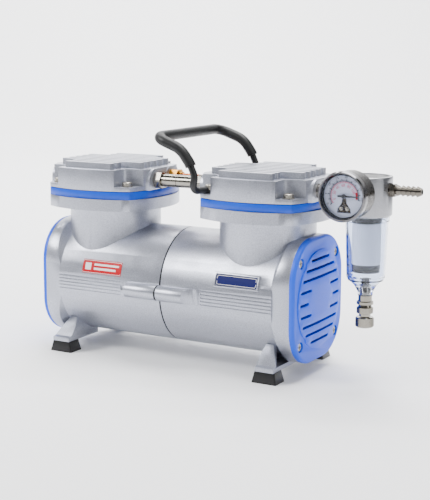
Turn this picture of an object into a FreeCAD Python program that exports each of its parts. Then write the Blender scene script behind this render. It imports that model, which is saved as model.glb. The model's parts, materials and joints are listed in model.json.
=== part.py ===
import FreeCAD, Part
import math
import os

# Twin cylinder oil-free air pump, millimetres.
# X runs along the crankshaft to the filter end, the front faces -Y, +Z is up.
# The origin lies on the floor under the middle of the body.

# body and crankshaft line
axisZ = 64.4
bodyR = 51.0
bodyWall = 3.5
boreR = bodyR - bodyWall
gasketHalf = 0.75
flangeIn = 106.0
flangeOut = 122.3
endHalf = 53.0
endHalfY = 49.0
endCorner = 36.0
clampY = 54.2
webX = 50.0
webT = 10.0
shaftR = 6.0
bearingR = 14.0

# cylinders
cylX = 78.3
neckR = 41.55
neckWall = 4.0
platformLow = 131.45
platformTop = 141.6
plateTop = 148.5
gasketT = 0.5
headTop = 167.4
finTop = 172.9
pocketFloor = 152.6
planCorner = 42.7
planMid = 52.5
platformMid = 54.5
screwPitch = 36.5
sleeveIn = 26.0
sleeveOut = 28.0
sleeveLow = 113.5

# crank gear
throw = 4.0
crankR = 14.0
rodRun = 0.05
pistonR = 21.5
pistonTop = 141.0

# feet
footX = 103.0
footHalfX = 8.6
footScrewY = 44.0
footY = 54.5
footTall = 9.5
padT = 3.6

# end covers
coverFace = 126.8
coverWall = 2.4
coverScrew = 35.0
screwSeat = 3.4
slotW = 2.4
slotR = 39.0
discR = 42.0
domeR = 588.0
domeRise = 2.4
slotRows = (0.0, 10.4, 19.4, 27.1, 34.7)

# pipes and ports
portY = 13.0
portZ = 157.4
portBossR = 13.0
portFace = 52.8
pipeR = 5.65

# inlet filter and gauge
filterX = 173.7
filterR = 20.1
filterLow = 140.6
filterTop = 172.7
bowlR = 17.3
bowlWall = 1.9
gaugeZ = 161.4
gaugeR = 19.8
gaugeFront = -67.0
gaugeBack = -44.0
barbZ = 162.2
barbTip = 219.5

# handle
rodR = 3.0
gripR = 4.6
handleY = 55.5

parts = {}


def V(x, y, z):
    return FreeCAD.Vector(x, y, z)


def box(x0, x1, y0, y1, z0, z1):
    return Part.makeBox(x1 - x0, y1 - y0, z1 - z0, V(x0, y0, z0))


def cyl(r, x, y, z, d, h):
    return Part.makeCylinder(r, h, V(x, y, z), V(*d))


def cylX_(r, x0, x1, y=0.0, z=axisZ):
    return cyl(r, x0, y, z, (1, 0, 0), x1 - x0)


def cylY_(r, y0, y1, x, z):
    return cyl(r, x, y0, z, (0, 1, 0), y1 - y0)


def cylZ_(r, z0, z1, x, y):
    return cyl(r, x, y, z0, (0, 0, 1), z1 - z0)


def ring(outer, inner):
    return outer.cut(inner)


def fuse(shapes):
    out = shapes[0]
    if len(shapes) > 1:
        out = out.multiFuse(shapes[1:])
    return out.removeSplitter()


def prism(pts, vec):
    face = Part.Face(Part.makePolygon([V(*p) for p in pts] + [V(*pts[0])]))
    return face.extrude(V(*vec))


def hexPrism(af, x, y, z, d, h, turn=0.0):
    pts = []
    for k in range(6):
        a = math.radians(60 * k + 30 + turn)
        pts.append((af / math.sqrt(3) * math.cos(a), af / math.sqrt(3) * math.sin(a), 0))
    s = prism(pts, (0, 0, h))
    s.Placement = FreeCAD.Placement(V(x, y, z), FreeCAD.Rotation(V(0, 0, 1), V(*d)))
    return s


def revolveZ(pts, x, y):
    wire = Part.makePolygon([V(r, 0, z) for r, z in pts] + [V(pts[0][0], 0, pts[0][1])])
    s = Part.Face(wire).revolve(V(0, 0, 0), V(0, 0, 1), 360)
    s.translate(V(x, y, 0))
    return s


def revolveX(pts, y=0.0, z=axisZ):
    wire = Part.makePolygon([V(x, r, 0) for x, r in pts] + [V(pts[0][0], pts[0][1], 0)])
    s = Part.Face(wire).revolve(V(0, 0, 0), V(1, 0, 0), 360)
    s.translate(V(0, y, z))
    return s


def mirrorX(s):
    return s.mirror(V(0, 0, 0), V(1, 0, 0))


def solids(shape):
    return shape.Solids


# plan with four bulged sides: corners at c, mid sides at m
def bulgedPlan(c, m, x, z0, z1, corner=2.0):
    p = [V(-c, -c, 0), V(c, -c, 0), V(c, c, 0), V(-c, c, 0)]
    mid = [V(0, -m, 0), V(m, 0, 0), V(0, m, 0), V(-m, 0, 0)]
    edges = [Part.Arc(p[k], mid[k], p[(k + 1) % 4]).toShape() for k in range(4)]
    s = Part.Face(Part.Wire(edges)).extrude(V(0, 0, z1 - z0))
    s.translate(V(x, 0, z0))
    if corner > 0:
        upright = []
        for e in s.Edges:
            a, b = e.Vertexes[0].Point, e.Vertexes[-1].Point
            if abs(a.x - b.x) < 0.01 and abs(a.y - b.y) < 0.01 and abs(a.z - b.z) > 0.1:
                upright.append(e)
        s = s.makeFillet(corner, upright)
    return s


# end outline across X, drawn in by an inset
def roundedSquare(inset, x0, x1):
    y = endHalfY - inset
    z = endHalf - inset
    s = box(x0, x1, -y, y, axisZ - z, axisZ + z)
    long = [e for e in s.Edges if abs(e.Vertexes[0].X - e.Vertexes[-1].X) > 0.1]
    return s.makeFillet(endCorner - inset, long)


def crossHead(r, h, x, y, z, d):
    # pan head with a cross recess, seated at (x, y, z) and rising along d
    head = cyl(r, 0, 0, 0, (0, 0, 1), h)
    head = head.makeFillet(0.45 * h, [e for e in head.Edges if abs(e.BoundBox.ZMin - h) < 0.01])
    for a, b in ((1.15, 0.32), (0.32, 1.15)):
        head = head.cut(box(-a * r / 2, a * r / 2, -b * r / 2, b * r / 2, 0.45 * h, h + 1))
    head.Placement = FreeCAD.Placement(V(x, y, z), FreeCAD.Rotation(V(0, 0, 1), V(*d)))
    return head


# housing halves
def foot(front):
    s = -1 if front else 1
    x0 = footX - footHalfX
    w = 2 * footHalfX
    low = footTall
    top = footTall + padT
    outer = [(-footY, low), (-footY, top), (-footY + 4, top + 0.8), (-38, 29.5), (-30, 28)]
    outer += [(-8, top + 2), (-8, low)]
    pts = [(x0, y, z) for y, z in outer]
    leg = prism(pts, (w, 0, 0))
    inner = [(-footY + 4.5, top), (-37.5, 24.5), (-26, 34), (-6, 34), (-6, top)]
    pocket = prism([(x0 + 4.5, y, z) for y, z in inner], (w, 0, 0))
    leg = leg.cut(pocket)
    slope = [(x0 + w + 1, -60, top + 1), (x0 + w + 1, -60, 40), (x0 + w - 10.5, -60, 40)]
    slope += [(x0 + w - 8, -60, 29.5), (x0 + w, -60, top + 1)]
    leg = leg.cut(prism(slope, (0, 60, 0)))
    slope = [(x0 - 1, -60, top + 6), (x0 - 1, -60, 40), (x0 + 4, -60, 40), (x0 + 2.5, -60, 29.5)]
    leg = leg.cut(prism(slope, (0, 60, 0)))
    leg = leg.cut(cylZ_(2.2, low - 1, top + 1, footX, -footScrewY))
    if s > 0:
        leg = leg.mirror(V(0, 0, 0), V(0, 1, 0))
    return leg


def grooveCut():
    out = []
    for k in range(5):
        z = axisZ + 6.6 - 3.0 * k
        out.append(box(40.4, 107.6, -60, -bodyR * math.cos(math.asin((z - axisZ) / bodyR)) + 0.8,
                       z - 0.65, z + 0.65))
    return out


# clamp boss; the right one runs out in a scooped end
def clampBoss(right):
    x1 = 38.5 if right else 31.5
    b = cylX_(6.7, gasketHalf, x1, -53.6, axisZ + 0.6)
    b = b.fuse(box(gasketHalf, x1, -53.6, -44, axisZ - 6.1, axisZ + 7.3))
    if right:
        b = b.cut(cylZ_(13.0, axisZ - 20, axisZ + 20, x1 + 0.5, -64.6))
    return b


def housing(right):
    end = roundedSquare(0.0, flangeIn, flangeOut)
    cone = revolveX([(flangeIn, 0), (flangeIn, bodyR), (flangeIn + 8, 59.5), (flangeOut + 1, 61),
                     (flangeOut + 1, 0)])
    body = [cylX_(bodyR, gasketHalf, flangeIn + 1), end.common(cone)]
    body.append(cylZ_(neckR, axisZ, platformLow + 1, cylX, 0))
    platform = bulgedPlan(planCorner, platformMid, cylX, platformLow, platformTop)
    body.append(platform)
    body.append(foot(True))
    body.append(foot(False))
    boss = clampBoss(right)
    body.append(boss)
    body.append(boss.mirror(V(0, 0, 0), V(0, 1, 0)))
    if right:
        pad = box(52.6, 94.6, -50.5, -40, axisZ + 11.4, axisZ + 23.4)
        pad = pad.common(cylX_(bodyR + 1.0, 50, 97))
        field = box(54.2, 93.2, -60, -40, axisZ + 12.6, axisZ + 22.3)
        pad = pad.cut(field.cut(cylX_(bodyR + 0.3, 50, 97)))
        body.append(pad)
    h = fuse(body)
    h = h.cut(cylX_(boreR, -1, flangeOut + 1))
    h = h.cut(cylZ_(neckR - neckWall, axisZ, platformLow, cylX, 0))
    h = h.cut(cylZ_(sleeveOut, platformLow - 1, platformTop + 1, cylX, 0))
    web = ring(cylX_(boreR + 1, webX, webX + webT), cylX_(bearingR, webX - 1, webX + webT + 1))
    for k in range(4):
        a = math.radians(90 * k)
        web = web.cut(cylX_(8.5, webX - 1, webX + webT + 1, 31 * math.cos(a), axisZ + 31 * math.sin(a)))
    h = fuse([h, web])
    cuts = grooveCut()
    for sx in (-1, 1):
        for sy in (-1, 1):
            cuts.append(cylZ_(2.5, platformLow + 1, platformTop + 1, cylX + sx * screwPitch,
                              sy * screwPitch))
            a = math.atan2(sx, sy)
            r = coverScrew * math.sqrt(2)
            cuts.append(cylX_(1.7, flangeOut - 9, flangeOut + 1, r * math.sin(a), axisZ + r * math.cos(a)))
    for y in (-clampY, clampY):
        cuts.append(cylX_(2.3, 0, 19.5 if right else 40, y, axisZ + 0.6))
        if not right:
            cuts.append(cylX_(4.2, 26.0, 40, y, axisZ + 0.6))
    h = h.cut(fuse(cuts))
    return h if right else mirrorX(h)


parts["housing_right"] = housing(True)
parts["housing_left"] = housing(False)

# gasket between the halves
g = ring(cylX_(bodyR - 0.4, -gasketHalf, gasketHalf), cylX_(boreR, -1, 1))
for y in (-clampY, clampY):
    lobe = cylX_(6.3, -gasketHalf, gasketHalf, y, axisZ + 0.6)
    g = g.fuse(lobe.cut(cylX_(bodyR - 0.5, -1, 1)))
    g = g.cut(cylX_(2.3, -2, 2, y, axisZ + 0.6))
parts["parting_gasket"] = g.removeSplitter()

# clamp screws, one in front and one behind
rows = []
for y in (-clampY, clampY):
    s = cylX_(2.2, -26.5, 19, y, axisZ + 0.6)
    head = cylX_(3.9, -30.5, -26, y, axisZ + 0.6)
    head = head.cut(hexPrism(3.4, -31.5, y, axisZ + 0.6, (1, 0, 0), 3.5))
    rows.append(fuse([s, head]))
parts["clamp_screws"] = Part.makeCompound(rows)


# feet and their screws
def rubberFoot(sx, sy):
    x, y = sx * footX, sy * 47.0
    rims = []
    for hx, hy, z in ((11.4, 8.6, 0), (9.2, 7.3, footTall)):
        rims.append(Part.makePolygon([V(-hx, -hy, z), V(hx, -hy, z), V(hx, hy, z), V(-hx, hy, z), V(-hx, -hy, z)]))
    f = Part.makeLoft(rims, True, True)
    f = f.makeFillet(1.2, [e for e in f.Edges if abs(e.Vertexes[0].Z - e.Vertexes[-1].Z) > 1])
    shift = sy * (footScrewY - 47.0)
    f = f.cut(cyl(3.7, 0, shift, -1, (0, 0, 1), 5.0))
    f = f.cut(cyl(2.1, 0, shift, -1, (0, 0, 1), 20))
    f.translate(V(x, y, 0))
    return f


feet, footScrews = [], []
for sx in (-1, 1):
    for sy in (-1, 1):
        feet.append(rubberFoot(sx, sy))
        y = sy * footScrewY
        shank = cylZ_(2.0, 4.0, 16.3, sx * footX, y)
        head = cylZ_(3.5, 1.6, 4.0, sx * footX, y)
        nut = hexPrism(5.5, sx * footX, y, footTall + padT, (0, 0, 1), 2.4, 30)
        footScrews.append(fuse([shank, head, nut]))
parts["rubber_feet"] = Part.makeCompound(feet)
parts["foot_screws"] = Part.makeCompound(footScrews)


# end covers
def slotCut(y0, y1, z):
    s = box(coverFace - 6, coverFace + 4, y0 + slotW / 2, y1 - slotW / 2, z - slotW / 2, z + slotW / 2)
    a = cylX_(slotW / 2, coverFace - 6, coverFace + 4, y0 + slotW / 2, z)
    b = cylX_(slotW / 2, coverFace - 6, coverFace + 4, y1 - slotW / 2, z)
    return s.fuse(a).fuse(b)


def endCover():
    c = roundedSquare(0.0, flangeOut, coverFace)
    rim = [e for e in c.Edges if e.BoundBox.XMin > coverFace - 0.01]
    c = c.makeFillet(2.4, rim)
    dome = Part.makeSphere(domeR)
    dome.rotate(V(0, 0, 0), V(0, 0, 1), 180)
    dome.translate(V(coverFace + domeRise - domeR, 0, axisZ))
    disc = dome.common(cylX_(discR, coverFace - 1, coverFace + 6))
    notches = []
    for sy in (-1, 1):
        for sz in (-1, 1):
            notches.append(cylX_(9.0, coverFace - 2, coverFace + 5, sy * coverScrew, axisZ + sz * coverScrew))
    disc = disc.cut(fuse(notches))
    c = fuse([c, disc])
    hollow = roundedSquare(2.6, flangeOut - 1, coverFace - coverWall)
    posts = []
    for sy in (-1, 1):
        for sz in (-1, 1):
            posts.append(cylX_(6.5, flangeOut - 2, coverFace, sy * coverScrew, axisZ + sz * coverScrew))
    c = c.cut(hollow.cut(fuse(posts)))
    cuts = []
    for i, z in enumerate(slotRows):
        half = math.sqrt(slotR ** 2 - z ** 2)
        for s in ((1, -1) if z > 0 else (1,)):
            if i < 2:
                inner = 24.0 * math.sqrt(1 - (z / 16.5) ** 2)
                cuts.append(slotCut(-half, -inner, axisZ + s * z))
                cuts.append(slotCut(inner, half, axisZ + s * z))
            else:
                cuts.append(slotCut(-half, half, axisZ + s * z))
    for sy in (-1, 1):
        for sz in (-1, 1):
            cuts.append(cylX_(4.6, coverFace - screwSeat, coverFace + 3, sy * coverScrew, axisZ + sz * coverScrew))
            cuts.append(cylX_(1.9, flangeOut - 1, coverFace, sy * coverScrew, axisZ + sz * coverScrew))
    c = c.cut(Part.makeCompound(cuts))
    return c


cover = endCover()
parts["end_cover_right"] = cover
parts["end_cover_left"] = mirrorX(cover)
rows = []
for sx in (-1, 1):
    for sy in (-1, 1):
        for sz in (-1, 1):
            y, z = sy * coverScrew, axisZ + sz * coverScrew
            seat = coverFace - screwSeat
            head = crossHead(3.7, 2.4, seat, y, z, (1, 0, 0))
            s = fuse([head, cylX_(1.6, flangeOut - 8, seat + 0.5, y, z)])
            rows.append(s if sx > 0 else mirrorX(s))
parts["cover_screws"] = Part.makeCompound(rows)


# cylinder sleeves, plates, gaskets and heads
def screwSpots():
    return [(sx * screwPitch, sy * screwPitch) for sx in (-1, 1) for sy in (-1, 1)]


sleeve = ring(cylZ_(sleeveOut, sleeveLow, platformTop, cylX, 0), cylZ_(sleeveIn, sleeveLow - 1, 150, cylX, 0))
parts["cylinder_sleeve_right"] = sleeve
parts["cylinder_sleeve_left"] = mirrorX(sleeve)

plate = bulgedPlan(planCorner, planMid, cylX, platformTop, plateTop)
cuts = [cylZ_(2.7, platformTop - 1, plateTop + 1, cylX + x, y) for x, y in screwSpots()]
cuts += [cylZ_(5.0, platformTop - 1, plateTop + 1, cylX, y) for y in (-portY, portY)]
plate = plate.cut(Part.makeCompound(cuts))
parts["valve_plate_right"] = plate
parts["valve_plate_left"] = mirrorX(plate)

rows, seals = [], []
for sx in (-1, 1):
    for y, z in ((-portY, platformTop - 0.4), (portY, plateTop)):
        leaf = cylZ_(6.5, z, z + 0.4, sx * cylX, y)
        tail = box(sx * cylX - 3, sx * cylX + 3, y, y + 14 * (1 if y > 0 else -1), z, z + 0.4) \
            if y > 0 else box(sx * cylX - 3, sx * cylX + 3, y - 8, y, z, z + 0.4)
        rows.append(fuse([leaf, tail]))
    seal = bulgedPlan(planCorner - 1.0, planMid - 1.0, sx * cylX, plateTop, plateTop + gasketT)
    seal = seal.cut(box(sx * cylX - 27, sx * cylX + 27, -32, -1.5, plateTop - 1, plateTop + 1))
    seal = seal.cut(box(sx * cylX - 27, sx * cylX + 27, 1.5, 32, plateTop - 1, plateTop + 1))
    for x, y in screwSpots():
        seal = seal.cut(cylZ_(2.7, plateTop - 1, plateTop + 1, sx * cylX + x, y))
    seals.append(seal)
parts["reed_valves"] = Part.makeCompound(rows)
parts["head_gaskets"] = Part.makeCompound(seals)


def head(right):
    low = plateTop + gasketT
    h = bulgedPlan(planCorner, planMid, cylX, low, headTop)
    pockets = []
    for x, y in screwSpots():
        sx, sy = (1 if x > 0 else -1), (1 if y > 0 else -1)
        px, py = cylX + sx * 30.0, sy * 28.5
        block = box(min(px, px + sx * 40), max(px, px + sx * 40), min(py, py + sy * 40),
                    max(py, py + sy * 40), pocketFloor, finTop + 1)
        e = [k for k in block.Edges if abs(k.Vertexes[0].X - px) < 0.01 and abs(k.Vertexes[0].Y - py) < 0.01
             and abs(k.Vertexes[-1].X - px) < 0.01 and abs(k.Vertexes[-1].Y - py) < 0.01]
        pockets.append(block.makeFillet(8.0, e))
    bosses = []
    for y in (-portY, portY):
        arch = cylX_(portBossR, cylX - portFace, cylX + portFace, y, portZ - 2.0)
        arch = arch.fuse(box(cylX - portFace, cylX + portFace, y - portBossR, y + portBossR, low, portZ - 2.0))
        bosses.append(arch.common(box(cylX - 60, cylX + 60, -40, 40, low, headTop)))
    h = fuse([h] + bosses)
    fins = []
    for k in range(9):
        y = -40.8 + 10.2 * k
        half = 43.0 if 2 <= k <= 6 else 25.0
        f = box(cylX - half, cylX + half, y - 3.2, y + 3.2, headTop - 0.5, finTop)
        top = [e for e in f.Edges if e.BoundBox.ZMin > finTop - 0.01]
        upright = [e for e in f.Edges if e.BoundBox.ZLength > 1]
        f = f.makeFillet(1.6, upright)
        fins.append(f)
    h = fuse([h] + fins)
    h = h.cut(Part.makeCompound(pockets))
    # inlet chamber in front, outlet chamber behind, with their ports
    for sy in (-1, 1):
        y0, y1 = (-27, -2) if sy < 0 else (2, 27)
        h = h.cut(box(cylX - 26, cylX + 26, y0, y1, low - 1, headTop - 3))
        h = h.cut(cylX_(5.0, cylX - 60, cylX - 20, sy * portY, portZ))
    if right:
        h = h.cut(cylX_(5.0, cylX + 20, cylX + 60, -portY, portZ))
        h = h.cut(cylY_(4.0, 20, 60, cylX, portZ))
    for x, y in screwSpots():
        h = h.cut(cylZ_(2.7, low - 1, pocketFloor + 1, cylX + x, y))
    return h if right else mirrorX(h)


parts["cylinder_head_right"] = head(True)
parts["cylinder_head_left"] = head(False)

rows = []
for sx in (-1, 1):
    for x, y in screwSpots():
        px = sx * cylX + x
        clamp = 3.2 if (sx > 0 and x < 0) else 0.0
        z = pocketFloor + clamp
        washer = ring(cylZ_(5.0, z, z + 1.0, px, y), cylZ_(2.5, z - 1, z + 2, px, y))
        s = crossHead(4.4, 3.2, px, y, z + 1.0, (0, 0, 1))
        s = fuse([s, cylZ_(2.4, platformLow + 1.5, z + 1.5, px, y)])
        rows += [washer, s]
parts["head_screws"] = Part.makeCompound(rows)


# pipes between the heads: plated inlet link in front, copper outlet link behind
gapX = cylX - portFace
for side in (-1, 1):
    joint = 3.0
    if side < 0:
        tube = cylX_(pipeR, -gapX + 7.0, -joint - 0.4, -portY, portZ)
        tube = tube.fuse(cylX_(pipeR - 0.7, -joint - 0.4, -joint, -portY, portZ))
        spigot = cylX_(4.8, -gapX - 6.0, -gapX + 7.0, -portY, portZ)
        bore = cylX_(3.2, -60, 0, -portY, portZ)
    else:
        tube = cylX_(pipeR, -joint, gapX - 7.0, -portY, portZ)
        spigot = cylX_(4.8, gapX - 7.0, gapX + 6.0, -portY, portZ)
        bore = cylX_(3.2, -10, 60, -portY, portZ)
    name = "link_pipe_left" if side < 0 else "link_pipe_right"
    parts[name] = fuse([tube, spigot]).cut(bore)
rows, brass = [], []
for side in (-1, 1):
    nut = hexPrism(14.0, min(side * gapX, side * (gapX - 7.0)), -portY, portZ, (1, 0, 0), 7.0)
    nut = nut.common(cylX_(7.7, -60, 60, -portY, portZ))
    rows.append(nut.cut(cylX_(4.8, -60, 60, -portY, portZ)))
    nut = hexPrism(14.0, min(side * gapX, side * (gapX - 8.0)), portY, portZ, (1, 0, 0), 8.0)
    collar = cylX_(5.2, min(side * (gapX - 8), side * (gapX - 11)), max(side * (gapX - 8), side * (gapX - 11)),
                   portY, portZ)
    nut = fuse([nut.common(cylX_(7.7, -60, 60, portY, portZ)), collar])
    brass.append(nut.cut(cylX_(4.0, -60, 60, portY, portZ)))
parts["link_pipe_nuts"] = Part.makeCompound(rows)
parts["copper_pipe_nuts"] = Part.makeCompound(brass)
parts["copper_pipe"] = ring(cylX_(4.0, -gapX - 5, gapX + 5, portY, portZ),
                            cylX_(3.0, -gapX - 6, gapX + 6, portY, portZ))


# hose barb pointing along +X from the origin
def barb(length, r, rise, ridges, collarAf, collarT, spigotR, spigotL, boreHole):
    pts = [(0, 0), (0, r)]
    step = (length - 5.5) / ridges
    pts.append((5.5, r))
    for k in range(ridges):
        x = 5.5 + step * k
        pts.append((x, r + rise))
        pts.append((x + step, r - 0.25))
    pts.append((length, 0))
    b = revolveX(pts, 0, 0)
    collar = hexPrism(collarAf, 0, 0, 0, (1, 0, 0), collarT)
    collar = collar.common(cylX_(collarAf * 0.55, -1, collarT + 1, 0, 0))
    b = fuse([b, collar, cylX_(spigotR, -spigotL, 0.5, 0, 0)])
    return b.cut(cylX_(boreHole, -spigotL - 1, length + 1, 0, 0))


out = barb(22.0, 3.2, 0.7, 3, 12.0, 5.0, 3.8, 8.0, 2.0)
out.rotate(V(0, 0, 0), V(0, 0, 1), 90)
out.translate(V(cylX, planMid, portZ))
parts["outlet_barb"] = out

# handle rod and grip: straight runs joined by tangent arcs
front = [(cylX - screwPitch, -screwPitch, pocketFloor + 3.1), (35.4, -handleY, pocketFloor + 3.1)]
front += [(37.9, -handleY, 168.0), (32.8, -handleY, 179.0), (24.5, -handleY, 190.3), (-0.7, -handleY, 199.3)]
bends = [0.0, 6.0, 4.0, 2.5, 7.0, 11.0]
path = [V(*p) for p in front] + [V(x, -y, z) for x, y, z in reversed(front)]
cuts = bends + bends[::-1]


def tubePath(pts, tangents):
    edges, last = [], pts[0]
    for k in range(1, len(pts) - 1):
        into = (pts[k - 1] - pts[k]).normalize()
        away = (pts[k + 1] - pts[k]).normalize()
        a = pts[k] + into * tangents[k]
        b = pts[k] + away * tangents[k]
        halfTurn = (math.pi - into.getAngle(away)) / 2
        radius = tangents[k] / math.tan(halfTurn)
        inward = (into + away).normalize()
        mid = pts[k] + inward * (radius / math.cos(halfTurn) - radius)
        edges.append(Part.LineSegment(last, a).toShape())
        edges.append(Part.Arc(a, mid, b).toShape())
        last = b
    edges.append(Part.LineSegment(last, pts[-1]).toShape())
    return Part.Wire(edges)


def sweep(pts, tangents, r):
    circle = Part.Wire(Part.makeCircle(r, pts[0], pts[1] - pts[0]))
    return tubePath(pts, tangents).makePipeShell([circle], True, False)


rod = sweep(path, cuts, rodR)
eyes = []
for s in (-1, 1):
    eye = cylZ_(5.0, pocketFloor, pocketFloor + 3.2, cylX - screwPitch, s * screwPitch)
    eyes.append(eye)
rod = fuse([rod] + eyes)
drops = []
for s in (-1, 1):
    drops.append(cylZ_(2.5, pocketFloor - 2, pocketFloor + 8, cylX - screwPitch, s * screwPitch))
    drops.append(cylZ_(5.3, pocketFloor + 3.2, pocketFloor + 12, cylX - screwPitch, s * screwPitch))
drops.append(box(cylX - 50, cylX, -42, 42, pocketFloor - 5, pocketFloor))
rod = rod.cut(Part.makeCompound(drops))
parts["handle_rod"] = max(rod.Solids, key=lambda q: q.Volume)
start = path[2] + (path[3] - path[2]).normalize() * 9.3
gripPath = [start] + path[3:-3] + [V(start.x, -start.y, start.z)]
gripCuts = [0.0] + cuts[3:-3] + [0.0]
parts["handle_grip"] = sweep(gripPath, gripCuts, gripR).cut(sweep(gripPath, gripCuts, rodR))

# inlet filter on the right head
blockL = filterX - filterR
nip = fuse([cylX_(6.2, cylX + portFace, blockL + 0.9, -portY, portZ),
            cylX_(4.8, cylX + portFace - 7, blockL + 7, -portY, portZ)])
parts["filter_nipple"] = nip.cut(cylX_(3.0, 100, 200, -portY, portZ))
block = cylZ_(filterR, filterLow, filterTop, filterX, -portY)
rim = [e for e in block.Edges if e.BoundBox.ZLength < 0.01 and e.BoundBox.ZMax < filterLow + 1]
block = block.makeChamfer(1.2, rim)
rim = [e for e in block.Edges if e.BoundBox.ZLength < 0.01 and e.BoundBox.ZMin > filterTop - 0.01]
block = block.makeFillet(0.8, rim)
cuts = [cylZ_(17.6, filterTop - 1.6, filterTop + 1, filterX, -portY)]
cuts.append(box(blockL - 1, blockL + 0.9, -portY - 8, -portY + 8, portZ - 8, portZ + 8))
cuts.append(cylX_(4.8, blockL - 1, filterX, -portY, portZ))
cuts.append(cylX_(4.0, filterX, filterX + 30, -portY, barbZ))
cuts.append(cylY_(4.0, -60, -portY, filterX, gaugeZ))
cuts.append(box(filterX - 8, filterX + 8, -60, -portY - filterR + 1.0, gaugeZ - 8, gaugeZ + 8))
cuts.append(cylZ_(6.0, filterLow + 5, portZ + 6, filterX, -portY))
cuts.append(cylZ_(2.5, filterLow - 1, filterLow + 5, filterX, -portY))
for k in range(4):
    a = math.radians(45 + 90 * k)
    cuts.append(cylZ_(2.0, filterLow - 1, filterLow + 6, filterX + 6 * math.cos(a), -portY + 6 * math.sin(a)))
parts["filter_head"] = block.cut(fuse(cuts))
parts["filter_head_plug"] = cylZ_(17.6, filterTop - 1.6, filterTop - 0.5, filterX, -portY)
barbIn = barb(barbTip - filterX - filterR, 3.6, 0.6, 6, 10.0, 4.0, 4.0, 8.0, 1.9)
barbIn.translate(V(filterX + filterR, -portY, barbZ))
collarSeat = box(filterX + filterR - 3, filterX + filterR + 0.01, -portY - 6, -portY + 6, barbZ - 6, barbZ + 6)
parts["filter_head"] = parts["filter_head"].cut(cylX_(5.6, filterX + filterR - 1.0, filterX + 40, -portY, barbZ))
seatRing = ring(cylX_(5.6, filterX + filterR - 1.0, filterX + filterR, -portY, barbZ),
                cylX_(3.0, filterX, filterX + 40, -portY, barbZ))
parts["hose_barb"] = fuse([barbIn, seatRing])
neck = ring(cylZ_(12.2, 134.9, filterLow, filterX, -portY), cylZ_(9.0, 130, 150, filterX, -portY))
parts["bowl_seal"] = neck
parts["filter_element"] = ring(cylZ_(11.4, 101.1, 134.9, filterX, -portY), cylZ_(8.0, 100, 140, filterX, -portY))
ret = revolveZ([(0, 94.6), (11.2, 94.6), (11.2, 96.6), (10.4, 97.0), (11.4, 97.4), (11.4, 101.1), (2.5, 101.1),
                (2.5, filterLow + 4.0), (0, filterLow + 4.0)], filterX, -portY)
parts["filter_retainer"] = ret
bowlTop = filterLow - 0.4
outer = [(0, 74.9), (6.0, 74.9), (6.2, 78.0), (9.4, 83.5), (12.0, 86.0), (14.3, 87.6), (15.6, 90.5)]
outer += [(bowlR, 136.0), (bowlR + 0.9, 136.6), (bowlR + 0.9, bowlTop), (0, bowlTop)]
inner = [(0, 82.5), (7.0, 83.6), (11.0, 87.8), (12.9, 89.4), (13.8, 92.0), (bowlR - bowlWall, 136.0)]
inner += [(bowlR - bowlWall, bowlTop + 1), (0, bowlTop + 1)]
bowl = revolveZ(outer, filterX, -portY).cut(revolveZ(inner, filterX, -portY))
parts["filter_bowl"] = bowl.cut(cylZ_(3.2, 70, 90, filterX, -portY))
valve = revolveZ([(0, 51.0), (3.0, 51.0), (3.0, 57.6), (4.8, 57.6), (4.8, 59.6), (6.6, 60.2), (6.6, 64.8),
                  (5.6, 65.4), (5.2, 67.2), (6.8, 67.6), (6.8, 69.8), (5.6, 70.4), (5.6, 74.9), (3.2, 74.9),
                  (3.2, 89.0), (0, 89.0)], filterX, -portY)
nut = hexPrism(8.4, filterX, -portY, 83.6, (0, 0, 1), 3.2)
valve = fuse([valve, nut.cut(revolveZ([(0, 80), (7.5, 80), (7.5, 83.6), (0, 83.6)], filterX, -portY))])
parts["drain_valve"] = valve.cut(cylZ_(1.2, 55, 90, filterX, -portY))
knob = cylZ_(7.4, 48.5, 56.8, filterX, -portY)
knob = knob.makeChamfer(0.7, [e for e in knob.Edges if e.BoundBox.ZLength < 0.01])
knob = knob.cut(cylZ_(3.06, 50.6, 60, filterX, -portY))
parts["drain_knob"] = knob

# vacuum gauge, its dial facing -Y
case = cylY_(19.0, -62.5, gaugeBack, filterX, gaugeZ).cut(cylY_(17.8, -70, gaugeBack - 1.4, filterX, gaugeZ))
case = case.makeFillet(1.0, [e for e in case.Edges if e.BoundBox.YMin > gaugeBack - 0.01])
parts["gauge_case"] = case
bz = revolveZ([(19.0, 4.5), (gaugeR, 5.1), (gaugeR, 9.6), (gaugeR - 0.9, 11.0), (18.0, 11.0), (17.4, 9.6),
               (17.4, 6.5), (19.0, 6.5)], 0, 0)
bz.rotate(V(0, 0, 0), V(1, 0, 0), 90)
bz.translate(V(filterX, gaugeFront + 11.0, gaugeZ))
parts["gauge_bezel"] = bz
dial = cylY_(17.8, -60.5, -59.9, filterX, gaugeZ)
bell = [(-1.8, -1.6), (1.8, -1.6), (2.2, -5.5), (5.4, -10.0), (5.8, -13.2), (-5.8, -13.2), (-5.4, -10.0)]
bell += [(-2.2, -5.5)]
window = prism([(filterX + x, -62, gaugeZ + z) for x, z in bell], (0, 4, 0))
parts["gauge_dial"] = dial.cut(window)
parts["gauge_lens"] = cylY_(18.2, -64.9, -63.5 + 0.05, filterX, gaugeZ).common(cylY_(17.4, -70, -50, filterX, gaugeZ))
mv = [box(filterX - 4.6, filterX + 4.6, -59.0, -57.6, gaugeZ - 12.6, gaugeZ + 4)]
mv.append(box(filterX - 3.5, filterX + 3.5, -57.6, gaugeBack - 1.4, gaugeZ - 11, gaugeZ - 7))
for x, z in ((-2.4, -9.6), (2.4, -9.6), (0, -4.0)):
    mv.append(cylY_(1.3, -59.8, -58.9, filterX + x, gaugeZ + z))
parts["gauge_movement"] = fuse(mv)
pts = [(-5.0, -0.7), (-5.0, 0.7), (0, 0.95), (11.5, 0.35), (13.4, 0), (11.5, -0.35), (0, -0.95)]
needle = prism([(filterX + x, -62.4, gaugeZ + z) for x, z in pts], (0, 0.5, 0))
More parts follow.
